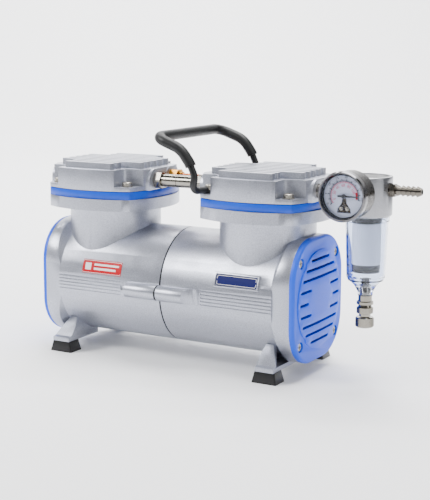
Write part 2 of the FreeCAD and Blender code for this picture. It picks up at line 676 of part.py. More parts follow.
parts["gauge_pointer"] = fuse([needle, cylY_(1.7, -62.9, -61.0, filterX, gaugeZ)])
gn = fuse([hexPrism(12.0, filterX, -38.6, gaugeZ, (0, -1, 0), 5.4),
           cylY_(3.9, -38.6, -portY - 12, filterX, gaugeZ),
           cylY_(5.0, -portY - filterR - 4.2, -portY - filterR + 1.0, filterX, gaugeZ)])
parts["gauge_nipple"] = gn.cut(cylY_(1.5, -43, -20, filterX, gaugeZ))

# motor: stator, windings, rotor, shaft and bearings
statorHalf = 28.0
slots = []
for k in range(12):
    b = box(-45, 45, -2.6, 2.6, 25.5, 38.0)
    b.rotate(V(0, 0, 0), V(1, 0, 0), 30 * k)
    b.translate(V(0, 0, axisZ))
    slots.append(b)
st = ring(cylX_(boreR, -statorHalf, statorHalf), cylX_(24.4, -50, 50))
parts["stator_core"] = st.cut(Part.makeCompound(slots))
coils = []
for s in (-1, 1):
    c = ring(cylX_(41.0, min(s * 28, s * 41), max(s * 28, s * 41)), cylX_(26.5, -60, 60))
    coils.append(c.makeFillet(3.5, [e for e in c.Edges if abs(abs(e.BoundBox.XMin) - 41) < 0.01
                                    and e.BoundBox.XLength < 0.01]))
for b in slots:
    coils.append(b.common(box(-30, 30, -60, 60, 0, 130)).common(ring(cylX_(37.6, -30, 30), cylX_(26.8, -30, 30))))
parts["stator_windings"] = fuse(coils)
parts["rotor"] = ring(cylX_(24.0, -statorHalf, statorHalf), cylX_(shaftR, -40, 40))
sh = cylX_(shaftR, -113.5, 113.5)
parts["shaft"] = sh.makeChamfer(0.8, [e for e in sh.Edges if e.BoundBox.XLength < 0.01])
rows = []
for s in (-1, 1):
    x0, x1 = min(s * webX, s * (webX + webT)), max(s * webX, s * (webX + webT))
    rows.append(ring(cylX_(bearingR, x0, x1), cylX_(shaftR + 0.05, x0 - 1, x1 + 1)))
parts["main_bearings"] = Part.makeCompound(rows)


# crank gear and fans: side 1 at bottom dead centre, side -1 at top dead centre
def eccentric(up):
    e = [cylX_(crankR, cylX - 6.5, cylX + 6.5, 0, axisZ + throw * up), cylX_(11.0, 62.5, 72, 0, axisZ)]
    sector = prism([(63.0, 0, 0), (63.0, -24, -up * 8), (63.0, -24, -up * 30), (63.0, 24, -up * 30),
                    (63.0, 24, -up * 8)], (7.0, 0, 0))
    sector.translate(V(0, 0, axisZ))
    e.append(sector.common(cylX_(25.0, 60, 75)))
    s = fuse(e)
    return s.cut(cylX_(shaftR, 50, 100))


def fan():
    f = [cylX_(13.0, 98.0, 112.0), cylX_(30.0, 98.0, 99.6)]
    for k in range(9):
        b = box(-7.0, 7.0, -0.9, 0.9, 12.0, 40.0)
        b.rotate(V(0, 0, 0), V(0, 0, 1), 28)
        b.translate(V(105.0, 0, 0))
        b.rotate(V(0, 0, 0), V(1, 0, 0), 40 * k)
        b.translate(V(0, 0, axisZ))
        f.append(b)
    return fuse(f).cut(cylX_(shaftR, 90, 120))


def pistonRod(up):
    pin = axisZ + throw * up
    top = pistonTop if up > 0 else pistonTop - 2 * throw
    big = cylX_(19.5, cylX - 6.0, cylX + 6.0, 0, pin)
    shank = box(cylX - 4.0, cylX + 4.0, -6.5, 6.5, pin + 15, top - 6)
    web = box(cylX - 1.6, cylX + 1.6, -11.0, 11.0, pin + 15, top - 6)
    crown = cylZ_(pistonR - 1.0, top - 8.0, top - 4.0, cylX, 0)
    post = cylZ_(8.0, top - 5.0, top - 2.0, cylX, 0)
    clamp = cylZ_(pistonR - 3.0, top - 2.8, top, cylX, 0)
    r = fuse([big, shank, web, crown, post, clamp])
    return r.cut(cylX_(crankR + rodRun, cylX - 10, cylX + 10, 0, pin))


def cup(up):
    top = pistonTop if up > 0 else pistonTop - 2 * throw
    c = revolveZ([(8.0, top - 4.0), (pistonR, top - 4.0), (pistonR + 0.1, top - 0.6), (pistonR - 1.0, top - 0.6),
                  (pistonR - 1.2, top - 2.8), (8.0, top - 2.8)], cylX, 0)
    return c


ecc = [eccentric(-1), mirrorX(eccentric(1))]
parts["eccentrics"] = Part.makeCompound(ecc)
parts["fans"] = Part.makeCompound([fan(), mirrorX(fan())])
parts["piston_rod_right"] = pistonRod(-1)
parts["piston_rod_left"] = mirrorX(pistonRod(1))
parts["piston_cup_right"] = cup(-1)
parts["piston_cup_left"] = mirrorX(cup(1))

# switch box behind the left half
boxX = -57.0
swZ = 64.0
sw = box(boxX - 24, boxX + 24, 30, 63.5, swZ - 17, swZ + 17)
sw = sw.makeFillet(4.0, [e for e in sw.Edges if e.BoundBox.YLength > 10])
sw = sw.makeFillet(1.5, [e for e in sw.Edges if e.BoundBox.YMin > 63.4])
sw = sw.cut(cylX_(bodyR, -100, 0))
sw = sw.cut(box(boxX - 17.5, boxX - 2.5, 55.5, 70, swZ - 10.8, swZ + 10.8))
sw = sw.cut(cylY_(5.0, 55, 70, boxX + 12.5, swZ))
parts["switch_box"] = max(sw.Solids, key=lambda q: q.Volume)
prof = [(-4.0, -8.6), (2.0, -9.2), (0.9, 0), (2.0, 9.2), (-4.0, 8.6)]
rk = prism([(boxX - 16.9, 61.0 + y, swZ + z) for y, z in prof], (13.8, 0, 0))
rk = fuse([rk, cylX_(0.9, boxX - 17.4, boxX - 2.6, 61.0, swZ)])
rk.rotate(V(boxX, 61.0, swZ), V(1, 0, 0), 8)
parts["rocker_switch"] = rk
gl = revolveZ([(2.6, 0), (5.0, 0), (5.0, 8.5), (8.0, 8.5), (8.0, 12.5), (6.0, 13.5), (5.0, 20.5), (3.4, 20.5),
               (2.6, 19.0)], 0, 0)
gl.rotate(V(0, 0, 0), V(1, 0, 0), -90)
gl.translate(V(boxX + 12.5, 55.0, swZ))
parts["cable_gland"] = gl


# nameplate and label follow the round of the body
def wrapped(x0, x1, z0, z1, r0, r1, corner):
    b = box(x0, x1, -60, -20, z0, z1)
    if corner > 0:
        b = b.makeFillet(corner, [e for e in b.Edges if e.BoundBox.YLength > 10])
    return b.common(ring(cylX_(r1, x0 - 1, x1 + 1), cylX_(r0, x0 - 2, x1 + 2)))


parts["nameplate"] = wrapped(54.6, 92.8, axisZ + 13.0, axisZ + 21.9, bodyR + 0.3, bodyR + 0.7, 1.5)
parts["label"] = wrapped(-81.8, -40.7, axisZ + 10.4, axisZ + 22.0, bodyR, bodyR + 0.3, 0.6)

os.makedirs("parts", exist_ok=True)
for name in sorted(parts):
    shape = parts[name]
    items = shape.Solids
    good = shape.isValid() and len(items) > 0
    if not good:
        print("CHECK", name, shape.isValid(), len(items))
    if len(items) == 1:
        shape = items[0]
    else:
        shape = Part.makeCompound(items)
    shape.exportStep("parts/" + name + ".step")
    print(name, len(items), [round(v, 1) for v in (shape.BoundBox.XMin, shape.BoundBox.XMax,
                                                   shape.BoundBox.YMin, shape.BoundBox.YMax,
                                                   shape.BoundBox.ZMin, shape.BoundBox.ZMax)])
print(len(parts), "nodes")
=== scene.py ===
import json
import math
import bmesh
import bpy
from mathutils import Matrix, Vector


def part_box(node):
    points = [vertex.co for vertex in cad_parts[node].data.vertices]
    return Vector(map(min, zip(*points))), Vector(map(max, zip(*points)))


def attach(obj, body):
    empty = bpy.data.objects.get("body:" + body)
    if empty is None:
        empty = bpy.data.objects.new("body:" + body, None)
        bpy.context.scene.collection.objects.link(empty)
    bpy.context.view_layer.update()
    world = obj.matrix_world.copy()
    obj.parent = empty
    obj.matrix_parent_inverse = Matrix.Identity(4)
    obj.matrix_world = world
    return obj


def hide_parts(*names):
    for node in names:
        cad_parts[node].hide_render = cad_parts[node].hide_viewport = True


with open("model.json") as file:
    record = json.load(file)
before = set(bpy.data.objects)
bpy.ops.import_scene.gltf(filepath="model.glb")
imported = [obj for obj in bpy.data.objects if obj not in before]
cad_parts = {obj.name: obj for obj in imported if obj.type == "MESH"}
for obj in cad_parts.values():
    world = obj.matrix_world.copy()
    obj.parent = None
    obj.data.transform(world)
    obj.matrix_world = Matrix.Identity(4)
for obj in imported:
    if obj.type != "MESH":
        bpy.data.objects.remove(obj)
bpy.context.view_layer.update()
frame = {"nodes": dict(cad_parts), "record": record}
cadNodes = frame["nodes"]
mm = 0.001
print("frame loaded,", len(cadNodes), "nodes")


# sRGB hex to the linear colour that the shaders take
def toLinear(hexText):
    parts = [int(hexText[i:i + 2], 16) / 255 for i in (1, 3, 5)]
    parts = [c / 12.92 if c <= 0.04045 else ((c + 0.055) / 1.055) ** 2.4 for c in parts]
    return (parts[0], parts[1], parts[2], 1.0)


def addNode(tree, kind, inputs=None, **settings):
    node = tree.nodes.new(kind)
    for key, value in settings.items():
        setattr(node, key, value)
    for key, value in (inputs or {}).items():
        if isinstance(value, bpy.types.NodeSocket):
            tree.links.new(value, node.inputs[key])
        else:
            node.inputs[key].default_value = value
    return node


def newMaterial(name, colour, metallic=0.0, roughness=0.4, **extra):
    mat = bpy.data.materials.new(name)
    mat.use_nodes = True
    tree = mat.node_tree
    shader = tree.nodes["Principled BSDF"]
    shader.inputs["Base Color"].default_value = toLinear(colour)
    shader.inputs["Metallic"].default_value = metallic
    shader.inputs["Roughness"].default_value = roughness
    for key, value in extra.items():
        shader.inputs[key.replace("_", " ")].default_value = value
    mat.diffuse_color = toLinear(colour)
    return mat, tree, shader


# a pattern on Object coordinates, its grain given in millimetres
def surfacePattern(tree, grainMm, detail=2.0, stretch=(1, 1, 1)):
    coords = addNode(tree, "ShaderNodeTexCoord").outputs["Object"]
    place = addNode(tree, "ShaderNodeMapping", {"Vector": coords, "Scale": stretch}).outputs["Vector"]
    noise = addNode(tree, "ShaderNodeTexNoise",
                    {"Vector": place, "Scale": 1000.0 / grainMm, "Detail": detail})
    return noise.outputs["Fac"]


# lets the colour drift between two near shades
def driftColour(tree, shader, pattern, low, high):
    shade = addNode(tree, "ShaderNodeMix", {"Factor": pattern, 6: toLinear(low), 7: toLinear(high)},
                    data_type="RGBA")
    tree.links.new(shade.outputs[2], shader.inputs["Base Color"])


# lets the roughness run from low to high over the middle of the pattern
def varyRoughness(tree, shader, pattern, low, high):
    span = addNode(tree, "ShaderNodeMapRange",
                   {"Value": pattern, "From Min": 0.3, "From Max": 0.7, "To Min": low, "To Max": high})
    tree.links.new(span.outputs["Result"], shader.inputs["Roughness"])


# lifts the surface by the pattern, on top of an earlier one when there is one
def raiseGrain(tree, shader, pattern, strength, depthMm, onto=None):
    inputs = {"Height": pattern, "Strength": strength, "Distance": depthMm * mm}
    if onto is not None:
        inputs["Normal"] = onto
    normal = addNode(tree, "ShaderNodeBump", inputs).outputs["Normal"]
    tree.links.new(normal, shader.inputs["Normal"])
    return normal


lacquerLook = {"light": "#B2B5C0", "dark": "#999CA8", "metallic": 0.78, "roughness": (0.31, 0.40),
               "coat": 0.15, "coatRoughness": 0.25, "flakeMm": 0.7, "peelMm": 1.7, "castMm": 14.0}


def makeSilverLacquer():
    # aluminium-flake lacquer sprayed on a casting: satin glints, faint orange peel and a fine sparkle
    mat, tree, shader = newMaterial("silverFlakeLacquer", lacquerLook["light"], lacquerLook["metallic"], 0.37,
                                    Coat_Weight=lacquerLook["coat"],
                                    Coat_Roughness=lacquerLook["coatRoughness"])
    cast = surfacePattern(tree, lacquerLook["castMm"], 3.0)
    flake = surfacePattern(tree, lacquerLook["flakeMm"], 1.0)
    glint = addNode(tree, "ShaderNodeMapRange",
                    {"Value": flake, "From Min": 0.35, "From Max": 0.65, "To Min": 0.0, "To Max": 1.0})
    driftColour(tree, shader, glint.outputs["Result"], lacquerLook["dark"], lacquerLook["light"])
    varyRoughness(tree, shader, cast, *lacquerLook["roughness"])
    peel = surfacePattern(tree, lacquerLook["peelMm"], 2.0)
    first = raiseGrain(tree, shader, peel, 0.2, 0.08)
    raiseGrain(tree, shader, flake, 0.12, 0.05, first)
    return mat


enamelLook = {"low": "#0442BC", "high": "#064BCB", "roughness": 0.34, "gloss": 0.25, "coat": 0.15,
              "coatRoughness": 0.15, "cloudMm": 9.0, "rippleMm": 2.0}


def makeBlueEnamel():
    # gloss blue enamel over machined aluminium: deep colour, clear highlights, slight ripple
    mat, tree, shader = newMaterial("blueEnamelPlate", enamelLook["high"], 0.0, enamelLook["roughness"],
                                    Specular_IOR_Level=enamelLook["gloss"], Coat_Weight=enamelLook["coat"],
                                    Coat_Roughness=enamelLook["coatRoughness"])
    cloud = surfacePattern(tree, enamelLook["cloudMm"], 2.0)
    driftColour(tree, shader, cloud, enamelLook["low"], enamelLook["high"])
    raiseGrain(tree, shader, surfacePattern(tree, enamelLook["rippleMm"], 2.0), 0.12, 0.06)
    return mat


coverLook = {"low": "#0F49D6", "high": "#1A55E0", "roughness": (0.36, 0.46), "gloss": 0.25,
             "cloudMm": 30.0, "grainMm": 0.7}


def makeBlueMoulding():
    # injection-moulded ABS with a fine spark-eroded grain: mid gloss, light scatters softly over the dome
    mat, tree, shader = newMaterial("blueMouldedAbs", coverLook["high"], 0.0, 0.42,
                                    Specular_IOR_Level=coverLook["gloss"])
    cloud = surfacePattern(tree, coverLook["cloudMm"], 2.0)
    driftColour(tree, shader, cloud, coverLook["low"], coverLook["high"])
    grain = surfacePattern(tree, coverLook["grainMm"], 2.0)
    varyRoughness(tree, shader, grain, *coverLook["roughness"])
    raiseGrain(tree, shader, grain, 0.25, 0.05)
    return mat


def makeMoulding(name, low, high, roughness, grainMm, strength, gloss=0.5):
    # moulded part: its mould grain breaks up the gloss, and its colour drifts in patches nine grains wide
    mat, tree, shader = newMaterial(name, high, 0.0, roughness, Specular_IOR_Level=gloss)
    driftColour(tree, shader, surfacePattern(tree, grainMm * 9, 2.0), low, high)
    grain = surfacePattern(tree, grainMm, 3.0)
    varyRoughness(tree, shader, grain, roughness - 0.06, roughness + 0.08)
    raiseGrain(tree, shader, grain, strength, 0.08)
    return mat


def makePlated(name, dark, light, roughness, streakMm, stretch):
    # plated or bare metal: bright reflection, with faint streaks that are finest along the stretched axes
    mat, tree, shader = newMaterial(name, light, 1.0, roughness)
    streak = surfacePattern(tree, streakMm, 3.0, stretch)
    driftColour(tree, shader, streak, dark, light)
    varyRoughness(tree, shader, streak, roughness * 0.75, roughness * 1.35)
    raiseGrain(tree, shader, streak, 0.08, 0.03)
    return mat


bowlLook = {"tint": "#DDE5F5", "shadowTint": "#E8EDF8", "ior": 1.45, "roughness": (0.02, 0.05),
            "rippleMm": 8.0}


def makeClearBowl():
    # clear moulded polycarbonate: sharp and bright through the wall, its cool tint gathers in the thick rim
    mat, tree, shader = newMaterial("clearPolycarbonate", bowlLook["tint"], 0.0, 0.03, IOR=bowlLook["ior"],
                                    Transmission_Weight=1.0)
    ripple = surfacePattern(tree, bowlLook["rippleMm"], 1.0)
    varyRoughness(tree, shader, ripple, *bowlLook["roughness"])
    raiseGrain(tree, shader, ripple, 0.06, 0.06)
    # lamps reach the white element through the wall
    clear = addNode(tree, "ShaderNodeBsdfTransparent", {"Color": toLinear(bowlLook["shadowTint"])})
    path = addNode(tree, "ShaderNodeLightPath")
    blend = addNode(tree, "ShaderNodeMixShader", {0: path.outputs["Is Shadow Ray"]})
    tree.links.new(shader.outputs[0], blend.inputs[1])
    tree.links.new(clear.outputs[0], blend.inputs[2])
    tree.links.new(blend.outputs[0], tree.nodes["Material Output"].inputs["Surface"])
    return mat


lensLook = {"tint": "#8C95A8", "cover": 0.05, "roughness": 0.02, "rippleMm": 12.0}


def makeLensGlass():
    # flat float glass: almost unseen over the dial
    mat, tree, shader = newMaterial("gaugeGlass", lensLook["tint"], 0.0, lensLook["roughness"],
                                    Alpha=lensLook["cover"])
    raiseGrain(tree, shader, surfacePattern(tree, lensLook["rippleMm"], 1.0), 0.02, 0.02)
    return mat


inkLook = {"gloss": 0.2, "speckMm": 0.6, "spread": 0.05}


def makeInk(name, colour, roughness=0.45):
    # screen-printed ink: flat colour with a barely uneven sheen
    mat, tree, shader = newMaterial(name, colour, 0.0, roughness, Specular_IOR_Level=inkLook["gloss"])
    speck = surfacePattern(tree, inkLook["speckMm"], 1.0)
    varyRoughness(tree, shader, speck, roughness - inkLook["spread"], roughness + inkLook["spread"])
    raiseGrain(tree, shader, speck, 0.05, 0.02)
    return mat


# makeMoulding takes two shades, roughness, grain in mm, bump strength and gloss;
# makePlated takes two shades, roughness, streak in mm and the stretch of the streaks
looks = {
    "silver": makeSilverLacquer(),
    "bluePlate": makeBlueEnamel(),
    "blueCover": makeBlueMoulding(),
    # moulded nitrile rubber: near black with a soft gloss
    "rubber": makeMoulding("blackNitrileRubber", "#08080A", "#0D0D0F", 0.34, 1.2, 0.2, 0.45),
    # pressed gasket sheet: black and dull
    "gasket": makeMoulding("blackGasketPaper", "#08080A", "#0C0C0E", 0.6, 0.7, 0.3, 0.3),
    # moulded nylon: black with a mid sheen
    "blackPlastic": makeMoulding("blackMouldedNylon", "#0A0A0C", "#101013", 0.4, 0.7, 0.25),
    # powder coat on steel: even black, slightly pebbled
    "blackCoat": makeMoulding("blackPowderCoat", "#09090A", "#0E0E10", 0.33, 0.9, 0.3, 0.45),
    # dipped vinyl: black and softer than the powder coat
    "grip": makeMoulding("blackVinylGrip", "#0A0A0B", "#111113", 0.44, 1.2, 0.35, 0.35),
    # black sheet with no shine, painted shade seen through the end covers' slots
    "slotShade": makeMoulding("blackSlotShadeSheet", "#020203", "#07070A", 0.9, 0.9, 0.8, 0.2),
    # bright zinc on screws: warm grey, soft reflection
    "zinc": makePlated("zincPlatedSteel", "#8E8A80", "#B4B0A6", 0.3, 1.2, (1, 1, 1)),
    # satin nickel turned about the upright axis: fine rings catch the light
    "nickel": makePlated("satinNickelPlate", "#77736B", "#9C988F", 0.2, 0.6, (1, 1, 8)),
    # satin nickel turned about the X axis
    "nickelAlongX": makePlated("satinNickelTurned", "#7B7770", "#9F9B93", 0.18, 0.6, (8, 1, 1)),
    # darker nickel, so that each barb stands out
    "barbNickel": makePlated("nickelPlatedBarb", "#57534D", "#7D7870", 0.2, 0.6, (8, 1, 1)),
    # turned and anodised aluminium: grey satin with faint rings
    "satinAlu": makePlated("satinAnodisedAluminium", "#8E8F94", "#A3A4A9", 0.27, 0.8, (1, 1, 7)),
    # polished stainless: dark and sharp
    "stainless": makePlated("polishedStainless", "#5F5E61", "#787779", 0.13, 2.0, (1, 1, 1)),
    # turned brass: yellow, clear rings
    "brass": makePlated("turnedBrass", "#A9702A", "#CB9440", 0.22, 0.7, (6, 1, 1)),
    # black chrome: dark, broad reflection
    "blackChrome": makePlated("blackChromePlate", "#2E2C2B", "#454240", 0.28, 2.0, (1, 1, 1)),
    # brass in dark lacquer: brown, glints at the edges
    "movementBrass": makePlated("lacqueredBrassMovement", "#2A241B", "#4C4334", 0.25, 0.9, (1, 1, 1)),
    # drawn copper: red, streaks along the pipe
    "copper": makePlated("drawnCopper", "#9C4B22", "#BC6A3A", 0.22, 0.8, (1, 4, 4)),
    # ground steel: grey with fine rings about the X axis
    "steel": makePlated("groundSteel", "#77787B", "#9FA0A3", 0.35, 0.5, (8, 1, 1)),
    # bare casting: grey, matt reflection
    "castAlu": makePlated("castAluminium", "#8B8C8F", "#A9AAAD", 0.45, 1.0, (1, 1, 1)),
    # enamelled wire: copper brown, streaks along the wire
    "winding": makePlated("enamelledWire", "#6A3118", "#A25224", 0.4, 0.6, (1, 6, 6)),
    # filled PTFE: bone colour, waxy
    "ptfe": makeMoulding("filledPtfe", "#A79E86", "#B8AF97", 0.5, 0.8, 0.1),
    "clear": makeClearBowl(),
    "lens": makeLensGlass(),
    # sintered polyethylene: white, matt and grainy
    "element": makeMoulding("sinteredPolyethylene", "#E9EAEE", "#F6F7FA", 0.85, 0.9, 0.6, 0.3),
    "dialWhite": makeInk("dialEnamelWhite", "#BCC3DC", 0.4),
    "dialBlack": makeInk("dialInkBlack", "#06070C", 0.5),
    "dialRed": makeInk("dialInkRed", "#B30012", 0.5),
    "dialPink": makeInk("dialInkPink", "#C21F4A", 0.5),
    "navy": makeInk("navyPrintedPlate", "#030C52", 0.5),
    "paleInk": makeInk("paleScreenInk", "#E8E6E6", 0.4),
    "stickerRed": makeInk("redVinylSticker", "#B00318", 0.42),
}
print("materials ready,", len(looks))

nodeLooks = {
    "silver": ["housing_left", "housing_right", "cylinder_head_left", "cylinder_head_right"],
    "bluePlate": ["valve_plate_left", "valve_plate_right"],
    "blueCover": ["end_cover_left", "end_cover_right"],
    "rubber": ["rubber_feet"],
    "gasket": ["parting_gasket", "head_gaskets"],
    "zinc": ["clamp_screws", "foot_screws", "cover_screws", "head_screws"],
    "castAlu": ["cylinder_sleeve_left", "cylinder_sleeve_right", "eccentrics", "piston_rod_left",
                "piston_rod_right"],
    "steel": ["reed_valves", "stator_core", "rotor", "shaft", "main_bearings"],
    "winding": ["stator_windings"],
    "ptfe": ["piston_cup_left", "piston_cup_right"],
    "nickelAlongX": ["link_pipe_left", "link_pipe_right", "link_pipe_nuts", "filter_nipple"],
    "barbNickel": ["hose_barb", "outlet_barb"],
    "nickel": ["drain_valve", "drain_knob", "gauge_nipple"],
    "satinAlu": ["filter_head"],
    "copper": ["copper_pipe"],
    "brass": ["copper_pipe_nuts"],
    "movementBrass": ["gauge_movement"],
    "blackCoat": ["handle_rod", "gauge_pointer"],
    "grip": ["handle_grip"],
    "blackPlastic": ["filter_head_plug", "bowl_seal", "filter_retainer", "fans", "switch_box",
                     "rocker_switch", "cable_gland"],
    "stainless": ["gauge_bezel"],
    "blackChrome": ["gauge_case"],
    "dialWhite": ["gauge_dial"],
    "lens": ["gauge_lens"],
    "clear": ["filter_bowl"],
    "element": ["filter_element"],
    "navy": ["nameplate"],
    "stickerRed": ["label"],
}
lookOf = {name: key for key, names in nodeLooks.items() for name in names}
for name, node in cadNodes.items():
    node.data.materials.clear()
    node.data.materials.append(looks[lookOf[name]])
bodyOf = {name: body for body, names in frame["record"]["behaviour"]["bodies"].items() for name in names}


# sharp edges stay sharp above the shading angle, the rest is shaded smooth
def coatMesh(mesh, look, smooth):
    mesh.materials.clear()
    mesh.materials.append(looks[look])
    mesh.polygons.foreach_set("use_smooth", [True] * len(mesh.polygons))
    mesh.set_sharp_from_angle(angle=math.radians(smooth))


def finishPiece(name, mesh, look, body, smooth=35.0):
    piece = bpy.data.objects.new(name, mesh)
    bpy.context.scene.collection.objects.link(piece)
    coatMesh(mesh, look, smooth)
    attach(piece, body)
    return piece


# turns a piece's live modifiers into a plain mesh
def bakedMesh(piece):
    depsgraph = bpy.context.evaluated_depsgraph_get()
    mesh = bpy.data.meshes.new_from_object(piece.evaluated_get(depsgraph))
    piece.modifiers.clear()
    return mesh


def meshFrom(name, verts, faces):
    mesh = bpy.data.meshes.new(name)
    mesh.from_pydata(verts, [], faces)
    work = bmesh.new()
    work.from_mesh(mesh)
    bmesh.ops.remove_doubles(work, verts=work.verts, dist=1e-7)
    bmesh.ops.recalc_face_normals(work, faces=work.faces)
    work.to_mesh(mesh)
    work.free()
    return mesh


# a rounded copy of a rigid piece: merged, its flat faces joined, its edges broken by a small radius
def softened(name, widthMm, segments, angle, smooth):
    mesh = cadNodes[name].data.copy()
    work = bmesh.new()
    work.from_mesh(mesh)
    bmesh.ops.remove_doubles(work, verts=work.verts, dist=1e-6)
    bmesh.ops.dissolve_limit(work, angle_limit=math.radians(0.3), verts=work.verts, edges=work.edges)
    work.to_mesh(mesh)
    work.free()
    piece = bpy.data.objects.new(name + "_skin", mesh)
    bpy.context.scene.collection.objects.link(piece)
    bevel = piece.modifiers.new("edge", "BEVEL")
    bevel.width = widthMm * mm
    bevel.segments = segments
    bevel.limit_method = "ANGLE"
    bevel.angle_limit = math.radians(angle)
    bevel.use_clamp_overlap = True
    piece.data = bakedMesh(piece)
    coatMesh(piece.data, lookOf[name], smooth)
    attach(piece, bodyOf[name])
    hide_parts(name)


# edge radius in millimetres, segments, edge angle that is rounded, shading angle
edgeBreaks = {
    "housing_left": (0.5, 2, 32, 28), "housing_right": (0.5, 2, 32, 28),
    "cylinder_head_left": (0.7, 3, 32, 30), "cylinder_head_right": (0.7, 3, 32, 30),
    "valve_plate_left": (0.25, 2, 32, 30), "valve_plate_right": (0.25, 2, 32, 30),
    "end_cover_left": (0.25, 2, 32, 30), "end_cover_right": (0.25, 2, 32, 30),
    "rubber_feet": (0.9, 3, 30, 40), "filter_head": (0.3, 2, 32, 30),
    "switch_box": (0.3, 2, 32, 30), "rocker_switch": (0.4, 2, 32, 30),
}
for name, settings in edgeBreaks.items():
    softened(name, *settings)
print("rounded skins done")


# one Geometry Nodes tree for everything that repeats on a circle: ticks, knurls and pleats
def buildRidgeTree():
    tree = bpy.data.node_groups.new("ridgeRow", "GeometryNodeTree")
    face = tree.interface
    face.new_socket("Geometry", in_out="INPUT", socket_type="NodeSocketGeometry")
    face.new_socket("Count", in_out="INPUT", socket_type="NodeSocketInt")
    for label in ("Radius", "Start", "Sweep", "Depth", "Width", "Length"):
        face.new_socket(label, in_out="INPUT", socket_type="NodeSocketFloat")
    face.new_socket("Finish", in_out="INPUT", socket_type="NodeSocketMaterial")
    face.new_socket("Geometry", in_out="OUTPUT", socket_type="NodeSocketGeometry")
    given = addNode(tree, "NodeGroupInput").outputs
    row = addNode(tree, "GeometryNodeMeshLine", {"Count": given["Count"], "Offset": (0, 0, 0)})
    index = addNode(tree, "GeometryNodeInputIndex").outputs[0]
    last = addNode(tree, "ShaderNodeMath", {0: given["Count"], 1: 1.0}, operation="SUBTRACT").outputs[0]
    share = addNode(tree, "ShaderNodeMath", {0: index, 1: last}, operation="DIVIDE").outputs[0]
    swept = addNode(tree, "ShaderNodeMath", {0: share, 1: given["Sweep"]}, operation="MULTIPLY").outputs[0]
    angle = addNode(tree, "ShaderNodeMath", {0: swept, 1: given["Start"]}, operation="ADD").outputs[0]
    across = addNode(tree, "ShaderNodeMath", {0: angle}, operation="COSINE").outputs[0]
    up = addNode(tree, "ShaderNodeMath", {0: angle}, operation="SINE").outputs[0]
    x = addNode(tree, "ShaderNodeMath", {0: across, 1: given["Radius"]}, operation="MULTIPLY").outputs[0]
    y = addNode(tree, "ShaderNodeMath", {0: up, 1: given["Radius"]}, operation="MULTIPLY").outputs[0]
    place = addNode(tree, "ShaderNodeCombineXYZ", {0: x, 1: y}).outputs[0]
    dots = addNode(tree, "GeometryNodeSetPosition", {"Geometry": row.outputs["Mesh"], "Position": place})
    size = addNode(tree, "ShaderNodeCombineXYZ",
                   {0: given["Depth"], 1: given["Width"], 2: given["Length"]}).outputs[0]
    ridge = addNode(tree, "GeometryNodeMeshCube", {"Size": size})
    turn = addNode(tree, "ShaderNodeCombineXYZ", {2: angle}).outputs[0]
    turned = addNode(tree, "FunctionNodeEulerToRotation", {0: turn}).outputs[0]
    copies = addNode(tree, "GeometryNodeInstanceOnPoints",
                     {"Points": dots.outputs["Geometry"], "Instance": ridge.outputs["Mesh"],
                      "Rotation": turned})
    solid = addNode(tree, "GeometryNodeRealizeInstances", {"Geometry": copies.outputs["Instances"]})
    coated = addNode(tree, "GeometryNodeSetMaterial",
                     {"Geometry": solid.outputs["Geometry"], "Material": given["Finish"]})
    end = addNode(tree, "NodeGroupOutput")
    tree.links.new(coated.outputs["Geometry"], end.inputs[0])
    return tree


ridgeTree = buildRidgeTree()


# sizes in millimetres, angles in degrees; depth is along the radius, width round it, length along the axis
def ridgeRow(name, look, body, place, count, radius, depth, width, length, start=0.0, sweep=None):
    full = 360.0 * (count - 1) / count
    values = {"Count": count, "Radius": radius * mm, "Start": math.radians(start),
              "Sweep": math.radians(full if sweep is None else sweep), "Depth": depth * mm,
              "Width": width * mm, "Length": length * mm, "Finish": looks[look]}
    carrier = bpy.data.objects.new(name + "_carrier", bpy.data.meshes.new(name + "_carrier"))
    bpy.context.scene.collection.objects.link(carrier)
    rows = carrier.modifiers.new("rows", "NODES")
    rows.node_group = ridgeTree
    for item in ridgeTree.interface.items_tree:
        if item.in_out == "INPUT" and item.name in values:
            rows[item.identifier] = values[item.name]
    mesh = bakedMesh(carrier)
    bpy.data.objects.remove(carrier)
    mesh.transform(place)
    finishPiece(name, mesh, look, body, 20.0)


def middle(name):
    low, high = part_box(name)
    return [(low[k] + high[k]) / 2 for k in range(3)]


# the gauge face: its own plane has x to the right, y up and z towards the viewer
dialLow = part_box("gauge_dial")[0]
dialMid = middle("gauge_dial")
dialFace = (Matrix.Translation((dialMid[0], dialLow[1], dialMid[2]))
            @ Matrix.Rotation(math.radians(90), 4, "X"))
# angles from 3 o'clock, anticlockwise; radii and the line's offsets in mm
# the rim and lip rings below are black ink painted as shade: the shadow gap round the dial and the shade
# under the bezel's lip
dialLook = {"ink": 0.10, "from": 212.0, "to": -12.0, "lineR": 11.5, "outerLine": (0.0, 0.4),
            "innerLine": (-0.7, -0.3), "redZone": (-2.1, -0.2), "redAngles": (-10, 18), "redSteps": 12,
            "outerFigureR": 14.9, "outerSize": 2.9, "outerTurn": (-6, 6), "innerFigureR": 8.3,
            "innerSize": 3.1, "innerTurn": (-14, 42), "edgeShadeIn": 17.0, "edgeShadeOut": 17.7, "lipShadeIn": 16.3,
            "lipShadeOut": 17.35, "lipShadeGap": 0.15, "ringSteps": 96}
# look, count, offset from the line, radial depth and width
dialTicks = {
    "dialFineTicks": ("dialBlack", 61, 0.9, 1.3, 0.26),
    "dialMainTicks": ("dialBlack", 13, 1.1, 1.8, 0.6),
    "dialPinkTicks": ("dialPink", 31, -1.1, 0.9, 0.34),
}


